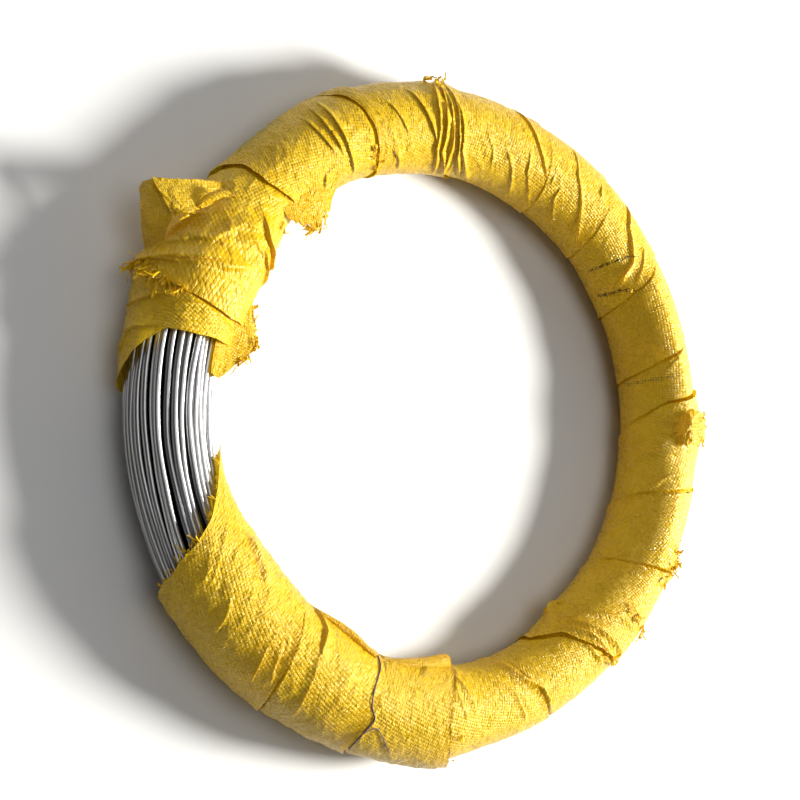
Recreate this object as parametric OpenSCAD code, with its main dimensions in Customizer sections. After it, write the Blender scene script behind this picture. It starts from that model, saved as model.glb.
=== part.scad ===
// Coil of wire rod bound with woven strips, lying flat on its end.
// The ring's axis is Z, the floor is Z = 0, and sizes are in millimetres.

/* [Wire coil] */
// Diameter of the wire rod
wire_d = 5.5; // [4:0.5:8]
// Mean diameter of the ring that the turns make
ring_d = 490; // [440:10:560]
// Diameter across the round bundle of turns
bundle_d = 65; // [55:1:75]

/* [Woven strips] */
// Thickness of one layer of woven strip
strip_t = 0.4; // [0.3:0.05:0.6]
// Clearance between one layer and the next
layer_gap = 0.35; // [0.3:0.05:0.6]
// Share of a strip's width that laps over its next turn
lap = 0.3; // [0.15:0.05:0.45]
// Extra clearance where one strip lies over another
join_gap = 0.3; // [0.2:0.05:0.6]

/* [Loose places] */
// How far the loose flap above the bare wire stands off
flap_h = 34; // [20:1:40]
// How far the slack strip sags towards the eye
bag_h = 10; // [3:1:14]
// How far the two corners of the cut end stand off
corner_h = 8; // [3:1:12]
// How far the torn corner hangs into the eye
torn_h = 18; // [8:1:24]
// How far the bunched strip beside the flap bulges towards the eye
bunch_h = 12; // [6:1:16]
// How far the loose lobe next to the bare wire hangs into the eye
lobe_h = 24; // [12:1:30]
// How far the tied lump stands up
knot_h = 6; // [3:1:10]

/* [Binding thread] */
// Diameter of the loose thread
thread_d = 1.2; // [0.8:0.1:2]
// Angle round the ring at which the thread lies
thread_at = 249; // [246:1:254]

/* [Hidden] */
// Where each strip runs, in degrees round the ring on its top side:
// first edge, last edge, turns, layers that it lies on, and 1 if each turn lies over the next
strip_a = [200, 268, 3, 2, 1];
strip_b = [262, 306, 2, 0, 1];
strip_c = [302, 362, 3, 2, 1];
strip_d = [358, 454, 5, 0, 0];
strip_e = [450, 497, 2, 2, 1];
strip_f = [492, 528, 2, 0, 1];

// Where a strip stands off: ring angle, angle round the bundle, half spans of both, height
loose_a = [
    [232, 170, 30, 75, bag_h],
    [270, 185, 12, 50, corner_h],
    [272, 12, 12, 50, corner_h]
];
loose_c = [[360, 80, 7, 45, knot_h]];
loose_e = [[491, 168, 8, 40, torn_h]];
loose_f = [
    [510, 358, 8, 50, flap_h],
    [509, 165, 12, 50, bunch_h],
    [525, 162, 9, 45, lobe_h]
];

// Steps round the bundle in one turn, and the steps across a strip's lap and between the laps
steps = 24;
lap_steps = 2;
mid_steps = 3;

// Radii from the middle of the bundle
ring_r = ring_d / 2;
bundle_r = bundle_d / 2;
layer = strip_t + layer_gap;
first_r = (bundle_r + layer_gap) / cos(180 / steps);
over_r = 2 * layer + join_gap;
outer_r = first_r + over_r + layer + strip_t;
// The lowest layer of the wrap rests on the floor
middle_z = outer_r;

// The outermost turns of wire lie side by side and bite into a solid middle
wire_ring_r = bundle_r - wire_d / 2;
wire_count = ceil(180 / asin(wire_d / 2 / wire_ring_r));
core_r = wire_ring_r * cos(180 / wire_count);

function strip_width(s) = (s[1] - s[0]) / (1 + (s[2] - 1) * (1 - lap));
function strip_pitch(s) = strip_width(s) * (1 - lap);

// A point by ring angle, angle round the bundle and distance from the bundle's middle
function tube_point(u, v, r) = [
    (ring_r + r * cos(v)) * cos(u),
    (ring_r + r * cos(v)) * sin(u),
    middle_z + r * sin(v)
];

function turned(a) = a - 360 * round(a / 360);
function hump(x) = abs(x) >= 1 ? 0 : pow(cos(90 * x), 2);
function lift(u, v, humps, i = 0) =
    i >= len(humps) ? 0 :
    humps[i][4] * hump((u - humps[i][0]) / humps[i][2]) * hump(turned(v - humps[i][1]) / humps[i][3])
    + lift(u, v, humps, i + 1);

// Shares across a strip's width: its two laps and what lies between them
across = concat(
    [for (k = [0 : lap_steps]) lap * k / lap_steps],
    [for (k = [1 : mid_steps]) lap + (1 - 2 * lap) * k / mid_steps],
    [for (k = [1 : lap_steps]) 1 - lap + lap * k / lap_steps]
);

function turn_u(s, t, w) = s[0] + strip_pitch(s) * (t - 0.5) + strip_width(s) * w;
function turn_v(t) = 270 - 360 * t;
// One layer up where a turn lies over its neighbour, falling to none between the laps
function lap_rise(s, t, w) =
    s[4] == 1 ? (t > s[2] - 1 ? 0 : min(1, max(0, (w - lap) / (1 - 2 * lap))))
              : (t < 1 ? 0 : min(1, max(0, (1 - lap - w) / (1 - 2 * lap))));
function inner_r(s, t, w, humps) =
    first_r + s[3] / 2 * over_r + layer * lap_rise(s, t, w) + lift(turn_u(s, t, w), turn_v(t), humps);
// The outer skin lies flat where it meets the floor
function skin_r(r, v) =
    r > outer_r - 0.01 && abs(turned(v - 270)) < 1.1 * 360 / steps ? middle_z / cos(v - 270) : r;

module strip(s, humps) {
    n = len(across);
    rows = s[2] * steps;
    inner = [
        for (i = [0 : rows]) let (t = i / steps)
        for (w = across) tube_point(turn_u(s, t, w), turn_v(t), inner_r(s, t, w, humps))
    ];
    outer = [
        for (i = [0 : rows]) let (t = i / steps, v = turn_v(t))
        for (w = across) tube_point(turn_u(s, t, w), v, skin_r(inner_r(s, t, w, humps) + strip_t, v))
    ];
    k = (rows + 1) * n;
    skins = [
        for (i = [0 : rows - 1])
        for (j = [0 : n - 2])
        let (a = i * n + j, b = a + n, c = b + 1, d = a + 1)
        each [[k + a, k + d, k + c], [k + a, k + c, k + b], [a, c, d], [a, b, c]]
    ];
    edges = [
        for (i = [0 : rows - 1])
        let (a = i * n, b = a + n, c = a + n - 1, d = c + n)
        each [[a, k + a, k + b], [a, k + b, b], [c, k + d, k + c], [c, d, k + d]]
    ];
    ends = [
        for (j = [0 : n - 2])
        let (a = j, b = j + 1, c = rows * n + j, d = c + 1)
        each [[a, k + b, k + a], [a, b, k + b], [c, k + c, k + d], [c, k + d, d]]
    ];
    polyhedron(points = concat(inner, outer), faces = concat(skins, edges, ends));
}

module wire_coil() {
    color("silver")
    rotate_extrude($fn = 96)
    translate([ring_r, middle_z])
    union() {
        circle(r = core_r, $fn = 64);
        for (k = [0 : wire_count - 1])
            rotate(360 * k / wire_count)
            translate([wire_ring_r, 0])
            circle(d = wire_d, $fn = 24);
    }
}

module wrap_strip_a() {
    color("gold")
    strip(strip_a, loose_a);
}

module wrap_strip_b() {
    color("gold")
    strip(strip_b, []);
}

module wrap_strip_c() {
    color("gold")
    strip(strip_c, loose_c);
}

module wrap_strip_d() {
    color("gold")
    strip(strip_d, []);
}

module wrap_strip_e() {
    color("gold")
    strip(strip_e, loose_e);
}

module wrap_strip_f() {
    color("gold")
    strip(strip_f, loose_f);
}

// A thread lying on the slack strip, from the eye over the top to the outside
module binding_thread() {
    sides = 6;
    spans = [for (v = [180 : -360 / steps : 15]) v];
    clear_r = first_r + over_r + layer + strip_t + join_gap + thread_d / 2;
    points = [
        for (v = spans)
        for (k = [0 : sides - 1])
        let (a = 360 * k / sides, r = clear_r + lift(thread_at, v, loose_a))
        tube_point(thread_at + thread_d / 2 * sin(a) / ring_r * 180 / PI, v, r + thread_d / 2 * cos(a))
    ];
    last = (len(spans) - 1) * sides;
    walls = [
        for (i = [0 : len(spans) - 2])
        for (k = [0 : sides - 1])
        let (a = i * sides + k, b = i * sides + (k + 1) % sides, c = a + sides, d = b + sides)
        each [[a, b, d], [a, d, c]]
    ];
    caps = [
        [for (k = [sides - 1 : -1 : 0]) k],
        [for (k = [0 : sides - 1]) last + k]
    ];
    color("indigo")
    polyhedron(points = points, faces = concat(walls, caps));
}

wire_coil();
wrap_strip_a();
wrap_strip_b();
wrap_strip_c();
wrap_strip_d();
wrap_strip_e();
wrap_strip_f();
binding_thread();
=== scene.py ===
"""Looks for a coil of wire rod bound with strips of yellow woven sack fabric."""

import math

import bpy
import numpy as np
from mathutils import Matrix, Vector


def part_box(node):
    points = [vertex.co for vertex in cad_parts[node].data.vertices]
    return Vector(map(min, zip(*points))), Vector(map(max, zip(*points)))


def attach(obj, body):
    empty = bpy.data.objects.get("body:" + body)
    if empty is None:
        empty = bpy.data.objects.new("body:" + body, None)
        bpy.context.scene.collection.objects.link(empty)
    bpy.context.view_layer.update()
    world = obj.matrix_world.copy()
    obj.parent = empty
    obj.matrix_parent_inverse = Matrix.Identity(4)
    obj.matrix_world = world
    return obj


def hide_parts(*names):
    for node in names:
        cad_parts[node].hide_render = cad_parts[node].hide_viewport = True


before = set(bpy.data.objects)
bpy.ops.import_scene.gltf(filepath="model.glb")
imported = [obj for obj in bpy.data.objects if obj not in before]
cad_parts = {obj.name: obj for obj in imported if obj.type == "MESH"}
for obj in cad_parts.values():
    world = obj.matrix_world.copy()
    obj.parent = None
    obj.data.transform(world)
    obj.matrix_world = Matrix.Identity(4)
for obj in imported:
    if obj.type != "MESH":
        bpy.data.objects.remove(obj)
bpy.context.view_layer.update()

# Sizes in millimetres
# Mean radius of the ring, and the middle height and the radius of the bundle of wires
RING = 245.0
coil_low, coil_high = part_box("wire_coil")
MID = 500 * (coil_low.z + coil_high.z)
BUNDLE = 500 * (coil_high.z - coil_low.z)
# Diameter of the wire, and width of a tape of the weave
WIRE = 5.5
TAPE = 2.4
# Mean radius of the wrap round the bundle, and the length of one turn
WRAP = 35.0
TURN = 2 * math.pi * WRAP
# Height that one more layer of strip adds
LAYER = 0.8
# Width over which a strip comes into view beside an edge that covers it
EDGE = 3.5
# How far the hidden bundle stays below the outermost wires, clear of the tightest wrap
HIDDEN_BELOW = 5.0
# Spacing of a strip's points, along it by strip, and across it
ALONG = {"a": 1.6, "b": 1.6, "c": 1.6, "d": 1.6, "e": 1.2, "f": 0.8}
ACROSS = 0.8

# Share of a strip's width that laps over its next turn
LAP = 0.3
# How far apart two wires lie in the UV map
WIRE_APART = 1.7
DEGREE = math.radians(1)

# Each strip: first and last edge on top in degrees, turns, raised layers,
# and whether each turn lies over the next
STRIPS = {
    "a": (200, 268, 3, 2, True),
    "b": (262, 306, 2, 0, True),
    "c": (302, 362, 3, 2, True),
    "d": (358, 454, 5, 0, False),
    "e": (450, 497, 2, 2, True),
    "f": (492, 528, 2, 0, True),
}
# The edges of other strips that cover a strip
COVERED_BY = {
    "b": [("a", "last"), ("c", "first")],
    "d": [("c", "last"), ("e", "first")],
    "f": [("e", "last")],
}
# How far the weave is turned from the strip's edges, in degrees
BIAS = {"a": 34, "b": 36, "c": 36, "d": 24, "e": 38, "f": 38}
# How much a strip's free edges stand off
LIP = {"a": 1.0, "b": 0.6, "c": 0.8, "d": 0.6, "e": 0.2, "f": 0.7}
# The most that fine creases and finest crinkles show on each strip
FINE_MOST = {"a": 0.8, "b": 0.5, "c": 0.6, "d": 0.6, "e": 0.6, "f": 0.6}
CRINKLE_MOST = {"a": 0.6, "b": 0.45, "c": 0.45, "d": 0.45, "e": 0.4, "f": 0.4}
# Lumps where a strip is knotted or bunched: ring angle, bundle angle, half spans, height, more crumple
LUMPS = {
    "a": [(268, 8, 5, 40, 4.0, 0), (268, 190, 6, 40, 2.0, 0)],
    "c": [(358.6, 62, 4.4, 34, 4.0, 1.0), (330, 60, 4.0, 22, 3.0, 1.8), (305.5, 180, 2.6, 20, 6.0, 1.5)],
    "d": [(92, 18, 2.2, 22, 4.0, 0)],
    "e": [
        (93.5, 18, 2.2, 22, 5.0, 0),
        (112, 16, 2.4, 25, 2.4, 0),
        (104, 10, 2.6, 25, 1.6, 0),
        (120, 25, 2.2, 25, 1.8, 0),
    ],
    "f": [(158, 0, 4, 40, 3.0, 0)],
}
# A green tint on the wrap: ring angle and half spans in degrees
GREEN_AT, GREEN_ALONG, GREEN_ROUND = 129, 5, 22

# How far the wrap stands from the bundle's middle, outside and towards the eye, by ring angle
OUTSIDE = [
    (0, 35.2), (20, 34.0), (40, 34.6), (50, 36.6), (65, 35.2), (80, 35.4), (95, 36.5), (108, 34.0),
    (117, 36.0), (124, 32.6), (133, 29.5), (140, 31.5), (150, 36.0), (158, 41.0), (166, 38.4), (174, 37.2),
    (190, 35.2), (202, 35.6), (212, 37.4), (222, 35.6), (229, 36.6), (236, 34.8), (247, 36.2), (258, 38.6),
    (266, 40.8), (276, 34.2), (290, 33.4), (302, 33.6), (308, 35.4), (316, 36.0), (324, 34.0), (338, 34.6),
]
EYE_SIDE = [
    (0, 35.4), (20, 34.2), (33, 35.6), (47, 34.4), (65, 37.0), (80, 36.4), (97, 36.0), (106, 34.0),
    (116, 32.6), (124, 34.0), (136, 34.4), (143, 41.0), (150, 45.0), (158, 45.5), (166, 42.0), (174, 37.0),
    (182, 34.6), (198, 35.0), (206, 42.5), (214, 45.0), (226, 45.2), (238, 46.0), (245, 43.0), (251, 38.4),
    (258, 40.0), (266, 41.0), (274, 34.4), (288, 33.6), (300, 33.6), (307, 37.6), (316, 34.8), (326, 33.6),
    (345, 34.0),
]
# How crumpled the fabric is, by ring angle
CRUMPLE = [
    (0, 0.4), (20, 0.35), (40, 0.4), (60, 0.4), (80, 0.5), (96, 0.8), (105, 0.9), (122, 1.0),
    (135, 1.5), (150, 2.0), (162, 1.4), (168, 0.9), (190, 0.9), (210, 1.3), (240, 1.2), (258, 0.8),
    (276, 0.7), (300, 0.8), (315, 0.5), (335, 0.3),
]

# Lines along which the fabric is folded: points of ring angle and bundle angle, height, half width, lean
FOLDS = [
    ([(165.2, -16), (163.5, 25), (161.8, 60)], 3.4, 2.6, 0.8),
    ([(158.5, 18), (154.2, 22), (151.6, 26), (148.9, 36), (148, 44)], 3.0, 3.0, 0.8),
    ([(157.5, -5), (157, 25), (155.5, 60), (153, 95)], 4.5, 5.5, 0.8),
    ([(154.8, 38), (152.1, 47), (151.3, 73), (145.8, 91), (144.7, 113)], 2.6, 5.0, 0.4),
    ([(157.1, 49), (156.2, 70), (155, 96), (151.4, 125)], 2.4, 5.0, 0.4),
    ([(150, 95), (147, 110), (148, 135)], 2.6, 4.5, 0.4),
    ([(173.4, -19), (168.5, 6), (167.9, 25), (167.6, 50)], 2.4, 3.0, 0.7),
    ([(158.5, -10), (157.6, 9), (157.3, 40), (156.9, 59)], 3.0, 3.5, 0.8),
    ([(157, -8), (156, 14), (152.8, 49), (151.3, 77), (151.2, 91)], 2.6, 4.0, 0.4),
    ([(141, 100), (143.9, 123), (144.9, 148), (148, 163)], 4.2, 3.6, 1.0),
    ([(146, 120), (148.5, 145), (152, 165)], 3.6, 3.2, 1.0),
    ([(206.1, 133), (209, 130), (212.6, 126), (216.3, 118)], 4.0, 4.6, -0.85),
    ([(222.2, 117), (223.8, 80), (228.4, 22)], 1.6, 2.6, 0.8),
    ([(225.3, 96), (227.5, 70), (230, 49)], 1.4, 2.4, 0.6),
    ([(231.9, 125), (234.4, 82), (236.9, 34)], 1.8, 2.6, 0.8),
    ([(229.4, 166), (233, 137), (233.3, 100)], 3.4, 3.0, -0.95),
    ([(212.5, 84), (215.1, 68), (217.5, 41)], 1.4, 2.6, 0.6),
    ([(263.6, 164), (259.1, 132)], 2.2, 2.6, 0.8),
    ([(268, 142), (268.1, 110), (270, 80)], 1.6, 2.2, 0.6),
    ([(268.5, 150), (270.5, 120), (272.2, 88)], 2.0, 2.4, 0.8),
    ([(281, 165), (282.7, 149), (285.2, 119), (288.5, 96), (290.2, 57)], 3.0, 2.8, 1.2),
    ([(282, 112), (283.1, 83), (284, 62)], 1.6, 2.2, 0.6),
    ([(294.3, 170), (300.8, 165), (304.3, 144), (307.1, 112), (308.2, 86), (308.5, 40)], 3.6, 2.6, 0.95),
    ([(296.1, 172), (301.9, 146), (305.0, 117), (305.8, 89), (306.6, 45)], 3.2, 2.4, 0.95),
    ([(302.8, 118), (303.5, 95), (304.2, 62)], 2.4, 2.0, 0.9),
    ([(304.0, 114), (304.9, 90), (305.9, 58)], 2.4, 2.0, 0.9),
    ([(302.3, 170), (308.9, 132), (312.9, 104), (314.4, 57)], 2.4, 2.6, 0.85),
    ([(309.5, 186), (320, 182), (324.6, 132)], 1.6, 2.6, 0.6),
    ([(322, 180), (325.4, 154), (330.6, 123)], 1.6, 3.0, 0.5),
    ([(329.8, 183), (334.2, 163), (338.5, 131)], 1.3, 3.0, 0.5),
    ([(338.5, 172), (343.5, 141), (349.5, 98)], 1.8, 2.6, 0.7),
    ([(346.3, 183), (352, 149), (352.7, 94)], 1.8, 2.6, 0.7),
    ([(358.6, 126), (356.7, 111), (354.3, 77)], 2.4, 2.4, 0.8),
    ([(34.4, 145), (37.4, 108), (43.8, 82), (47.1, 40)], 2.6, 2.2, 1.3),
    ([(31.9, 127), (35.7, 96), (39.1, 74)], 2.0, 2.0, 1.2),
    ([(25.8, 115), (27.8, 54)], 0.8, 1.6, 0.5),
    ([(-2, 91), (10, 92.5), (18, 94.5), (25, 94.5), (37, 97)], 6.2, 22.0, 0.0),
    ([(318, 92), (335, 94), (354, 95)], 4.0, 20.0, 0.0),
    ([(9.4, 135), (13.4, 100), (15.1, 85)], 1.4, 2.0, 0.6),
    ([(28.6, 189), (32.9, 155)], 1.4, 1.8, 0.6),
    ([(10.2, 179), (15.2, 158), (18.5, 129)], 1.4, 2.4, 0.5),
    ([(69.5, 185), (75.9, 131), (80.5, 103)], 1.0, 1.5, 0.7),
    ([(62, 190), (66, 165), (71.9, 127), (73.9, 94)], 1.0, 1.5, 0.7),
    ([(54.9, 185), (62.4, 136), (62.8, 116)], 0.9, 1.5, 0.7),
    ([(64.7, 137), (66.4, 91)], 0.8, 1.5, 0.5),
    ([(48, 165), (52.7, 140), (60.7, 89), (63.6, 34)], 1.3, 1.6, 1.1),
    ([(79.6, 160), (88.8, 123)], 0.8, 1.6, 0.5),
    ([(80.2, 147), (82.3, 117), (84.9, 97)], 0.8, 1.5, 0.5),
    ([(66.8, 122), (71.4, 89), (73.8, 65), (77, 28)], 2.0, 1.9, 1.3),
    ([(53.3, 94), (54.8, 69)], 1.8, 1.6, 1.3),
    ([(94.2, 0), (96.1, 75), (96.3, 128), (92.8, 178)], 2.8, 1.9, 0.9),
    ([(92.5, 5), (94.6, 86), (94.8, 132), (87, 198)], 3.2, 1.8, 0.8),
    ([(92.8, 20), (93.2, 96), (92.5, 141), (90.5, 175)], 2.6, 1.6, 0.6),
    ([(92, 25), (91.5, 105), (90.1, 139), (85, 180)], 2.8, 1.6, 0.6),
    ([(92.3, 30), (89.7, 128), (81.5, 192)], 2.8, 1.7, 0.6),
    ([(101.2, 46), (99.2, 82), (97.7, 106), (95.8, 132)], 1.8, 1.8, 0.8),
    ([(118.5, 30), (118.3, 77), (118.2, 108), (117, 150)], 2.4, 2.0, 0.7),
    ([(120.5, 30), (120.3, 77), (119.6, 118)], 2.0, 1.8, 0.7),
    ([(123, 35), (122.3, 77), (121.2, 110)], 1.8, 1.8, 0.7),
    ([(107, 60), (105.1, 86), (103.4, 115)], 1.2, 1.8, 0.5),
    ([(127, 160), (124.7, 125), (120.3, 118)], 2.2, 2.4, 0.6),
    ([(104, 165), (105.5, 140), (108, 122)], 1.8, 2.0, 0.6),
]
# How far round the ring a fold can reach from its middle point, in degrees
FOLD_REACH = 24
# A fold's real half width as a share of the one listed
FOLD_WIDTH = 0.72

# How far the free edges leave the even helix: bundle angle and degrees round the ring
EDGE_SHIFT = {
    "a_first": [
        (-40, 3.5), (-3, 3.6), (45, 2.5), (71, 2.0), (95, 0.0),
        (120, -3.3), (142, -8.1), (165, -9.0), (215, 0),
    ],
    "a_last": [(-60, -2), (14, -3.2), (57, -3.8), (84, -3.3), (101, -2), (125, 0.5), (162, 6.4), (215, 0)],
    "c_first": [(-40, 2), (35, 3.3), (89, 3.0), (141, 1.5), (172, -3.4), (215, 0)],
    "c_last": [(-40, 0), (40, 2), (121, 3.5), (170, 2), (215, 0)],
    "e_first": [(-40, 2), (18, 2.0), (77, 3.5), (118, 4.0), (178, 4.5), (215, 0)],
    "e_last": [(-40, -4), (46, -2.8), (79, -0.9), (111, -0.7), (145, -1.0), (180, -1.5), (215, 0)],
    "f_last": [(-40, 4), (-19, 4.1), (26, 1.0), (59, -1.2), (93, 0.0), (158, 2.0), (215, 0)],
}
# The same for the edge of a turn that lies over the next, by strip and turn
LAP_SHIFT = {
    "a": {1: [(-90, 0), (23, -3.3), (90, 0.5), (169, 6), (225, 3), (270, 0)]},
    "e": {0: [(-90, 0), (34, -6.5), (62, -7), (88, -6.3), (115, -5), (164, -3.5), (225, 0)]},
    "f": {
        0: [
            (-60, 0), (0, 0.5), (25, 3.4), (40, 5.1), (67, 7.2),
            (97, 9.3), (124, 11), (158, 12), (200, 7), (250, 0),
        ],
    },
}

# Rows where tapes have slipped: points of ring angle and bundle angle, half width, strength
RAVELS = [
    ([(41, 172), (40.7, 136), (38.7, 97)], 3.6, 1.0),
    ([(33.8, 180), (33.4, 144), (31.4, 116)], 3.6, 1.0),
    ([(9.7, 187), (10.2, 140), (10.5, 100)], 4.0, 0.85),
    ([(5, 185), (5.5, 165)], 2.4, 0.5),
    ([(122, 60), (120, 90), (118, 122)], 3.0, 0.5),
    ([(270.5, 18), (270.3, 75)], 4.0, 0.6),
    ([(331, 66), (326, 45)], 5.0, 0.8),
]

# Loose places, as rows of ring angle, bundle angle and distance
FLAP_TOP = [
    [(148.5, 20, 76), (147, 25.5, 65.5), (144.5, 32, 52), (141, 43, 33.5)],
    [(149.5, 25, 70.5), (148, 30.5, 61), (146, 37.5, 50), (142.5, 47.5, 34)],
    [(150.5, 30, 64.5), (149.5, 36, 57), (147.5, 42, 48), (144, 49.5, 34)],
    [(151.5, 35, 59), (151, 41, 53), (148.5, 47.5, 45.5), (145.5, 50, 35.5)],
]
FLAP_WALL = [
    [(157, 2.5, 42.5), (157, 11.5, 39.5), (156.5, 22.5, 39)],
    [(154.5, 6.5, 53.5), (154.5, 16, 50), (153.5, 28, 47)],
    [(152, 9, 63.5), (151.5, 19, 61.5), (151, 34.5, 56)],
    [(150, 9.5, 72), (150, 18.5, 70.5), (149.5, 27, 64.5)],
    [(149, 11.5, 75), (149, 15.5, 75.5), (148.5, 20, 74.5)],
]
LOBE = [
    [(158, 125, 40), (161, 123, 38.5), (164, 122, 38), (167, 122, 37), (170, 123, 36.5), (173.5, 126, 35.5)],
    [(157, 143, 43), (161, 144, 44), (164.6, 145, 45), (167.6, 145, 43), (170.6, 143, 40), (174, 138, 36.5)],
    [(156.5, 158, 47), (161, 158, 53), (165, 157, 58.5), (168.2, 156, 53), (171, 154, 46), (174, 146, 37.5)],
    [
        (157.5, 174, 47), (161.5, 176, 51), (165.3, 176, 54),
        (168.6, 174, 47), (171, 170, 41), (173.5, 165, 36),
    ],
    [(158, 200, 36), (161.5, 200, 36), (165, 200, 36), (168.5, 198, 35), (170.5, 196, 35), (172.5, 190, 35)],
]
TORN = [
    [(137, 112, 33), (132, 116, 33), (128, 120, 33), (121, 124, 33)],
    [(137.2, 130, 36.5), (133.5, 144, 40), (129, 146, 42), (122, 144, 36.5)],
    [(137.2, 138, 38), (134.4, 162, 47), (130.2, 168, 58), (124, 162, 44)],
]
KNOT = [
    [(354.6, 106, 35), (357, 112, 36), (360, 110, 36), (363, 104, 35)],
    [(354.8, 98, 39.5), (357, 102, 43), (360, 100, 43), (363.2, 96, 39.5)],
    [(355.2, 86, 42), (357.2, 92, 46), (360, 90, 46.5), (362.8, 86, 43)],
    [(355.8, 68, 42), (357.6, 72, 45.5), (359.8, 70, 46), (362.0, 68, 43)],
    [(356.2, 52, 40), (357.8, 54, 43), (359.6, 52, 43.5), (361.2, 52, 41)],
    [(356.6, 36, 35), (358, 36, 36.5), (359.4, 36, 36.5), (360.6, 36, 35)],
]
# Rolled edges, as ring angle, bundle angle, distance and radius of the roll
MOUTH = [(149.5, 41, 46, 1.0), (146.6, 49, 47, 3.2), (144, 59, 45, 3.8), (143.6, 69, 41, 2.4)]
END_ROLL = [(250, 156, 40, 1.5), (256, 159, 41, 4.0), (262, 162, 42, 6.0), (269, 166, 43, 7.0)]
EYE_ROLL = [(231, 163, 48, 1.6), (236, 161, 49, 3.2), (241, 157, 48.5, 3.6), (247.5, 148, 44.5, 1.8)]
# Lines along which tapes have come loose, as ring angle, bundle angle and distance
KNOT_FRAY = [(361.6, 58, 43), (360, 46, 42), (357, 50, 42), (355.6, 62, 42)]
LAP_FRAY = [(316.1, 100, 37.5), (316.3, 78, 38.5), (316.2, 45, 38.5), (314.6, 37, 39)]
TORN_FRAY = [(134.4, 158, 44), (130.5, 164, 53), (127, 160, 46)]
GATHER_FRAY = [(95.6, 24, 40), (93.7, 16, 43), (92.2, 22, 41), (95.2, 50, 40)]
BAND_FRAY = [(159.8, -15, 45), (157.5, 5, 46), (159.1, 25, 45), (160.2, 40, 44), (161.1, 67, 43)]
LOBE_FRAY = [(157, 158, 47.5), (161, 158, 53.5), (165, 157, 59), (168.2, 156, 53.5), (171, 154, 46.5)]
# The thread on the slack strip and its loose end, as ring angle and bundle angle
THREAD = [
    (248.5, 152), (248.1, 133), (247.1, 104), (247.7, 89),
    (249.3, 78), (248.5, 63), (248.3, 53), (248.7, 31),
]
TAIL = [(248.6, 62), (250.6, 69), (252.7, 59), (255.4, 43)]

# Masks that a strip's points carry for its material, among them a painted glow in fold slits and painted
# shade at the feet of folds and the roots of loose pieces
MASKS = ("ravel", "painted_glow", "painted_shade", "green", "crease", "loose")


# Angles, curves and noise
def turned(angle):
    """An angle between -180 and 180 degrees."""
    return (angle + 180) % 360 - 180


def bundle_angle(v):
    """A bundle angle from -90, under the ring, to 270."""
    return (np.asarray(v) + 90) % 360 - 90


def smooth(x):
    """A soft step from 0 to 1."""
    x = np.clip(x, 0, 1)
    return x * x * (3 - 2 * x)


def bell(x):
    """A soft peak of 1 at 0."""
    return np.exp(-(x**2))


def through(points, x):
    """A value read off the straight lines through a few points."""
    at, value = np.array(points, float).T
    return np.interp(x, at, value)


def by_angle(points, u):
    """A smooth value by ring angle through a few points."""
    reach, blur = 9, 2.6
    at, value = np.array(points, float).T
    fine = np.interp(np.arange(0, 360, 1.0), at, value, period=360)
    weight = np.exp(-0.5 * (np.arange(-reach, reach + 1) / blur) ** 2)
    fine = np.convolve(np.r_[fine[-reach:], fine, fine[:reach]], weight / weight.sum(), "valid")
    return np.interp(np.asarray(u) % 360, np.arange(0, 361, 1.0), np.r_[fine, fine[0]])


def spline(points, count):
    """A smooth line, or a surface's lines, through points along the first axis."""
    points = np.asarray(points, float)
    n = len(points)
    ends = np.concatenate([2 * points[:1] - points[1:2], points, 2 * points[-1:] - points[-2:-1]])
    t = np.linspace(0, n - 1, count)
    i = np.minimum(t.astype(int), n - 2)
    f = (t - i).reshape((-1,) + (1,) * (points.ndim - 1))
    a, b, c, d = ends[i], ends[i + 1], ends[i + 2], ends[i + 3]
    return 0.5 * (2 * b + (c - a) * f + (2 * a - 5 * b + 4 * c - d) * f**2 + (3 * b - a - 3 * c + d) * f**3)


def noise(x, y, seed):
    """Even gradient noise, about -0.7 to 0.7."""
    g = np.random.default_rng(seed)
    table = g.permutation(256)
    angle = g.uniform(0, 2 * math.pi, 256)
    gx, gy = np.cos(angle), np.sin(angle)
    xi, yi = np.floor(x).astype(int), np.floor(y).astype(int)
    xf, yf = x - xi, y - yi

    def corner(i, j):
        h = table[(table[(xi + i) & 255] + yi + j) & 255]
        return gx[h] * (xf - i) + gy[h] * (yf - j)

    a = xf * xf * xf * (xf * (xf * 6 - 15) + 10)
    b = yf * yf * yf * (yf * (yf * 6 - 15) + 10)
    low = corner(0, 0) * (1 - a) + corner(1, 0) * a
    high = corner(0, 1) * (1 - a) + corner(1, 1) * a
    return low * (1 - b) + high * b


def creases(x, y, seed, long, short, turn=0.0):
    """Sharp ridges, 0 to 1, drawn out along x and turned by some degrees."""
    c, s = math.cos(math.radians(turn)), math.sin(math.radians(turn))
    p, q = (x * c + y * s) / long, (-x * s + y * c) / short
    p = p + 0.5 * noise(p * 0.7 + 3, q * 0.5, seed + 1)
    q = q + 0.7 * noise(p * 0.9, q * 0.6 + 7, seed + 2)
    return np.clip(1 - 2.2 * np.abs(noise(p, q, seed)), 0, 1) ** 2


# Places on the wrap
def section(u, v):
    """Distance of the wrap's surface from the bundle's middle."""
    share = ((1 - np.cos(np.radians(v))) / 2) ** 1.5
    out, eye = by_angle(OUTSIDE, u), by_angle(EYE_SIDE, u)
    return out + (eye - out) * share


def tube(u, v, rho):
    """A point by ring angle, bundle angle and distance, in metres."""
    a, b = np.radians(u), np.radians(v)
    q = RING + rho * np.cos(b)
    return np.stack([q * np.cos(a), q * np.sin(a), MID + rho * np.sin(b)], -1) / 1000


def width_of(name):
    """Width of a strip in degrees round the ring."""
    first, last, turns = STRIPS[name][:3]
    return (last - first) / (1 + (turns - 1) * (1 - LAP))


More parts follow.
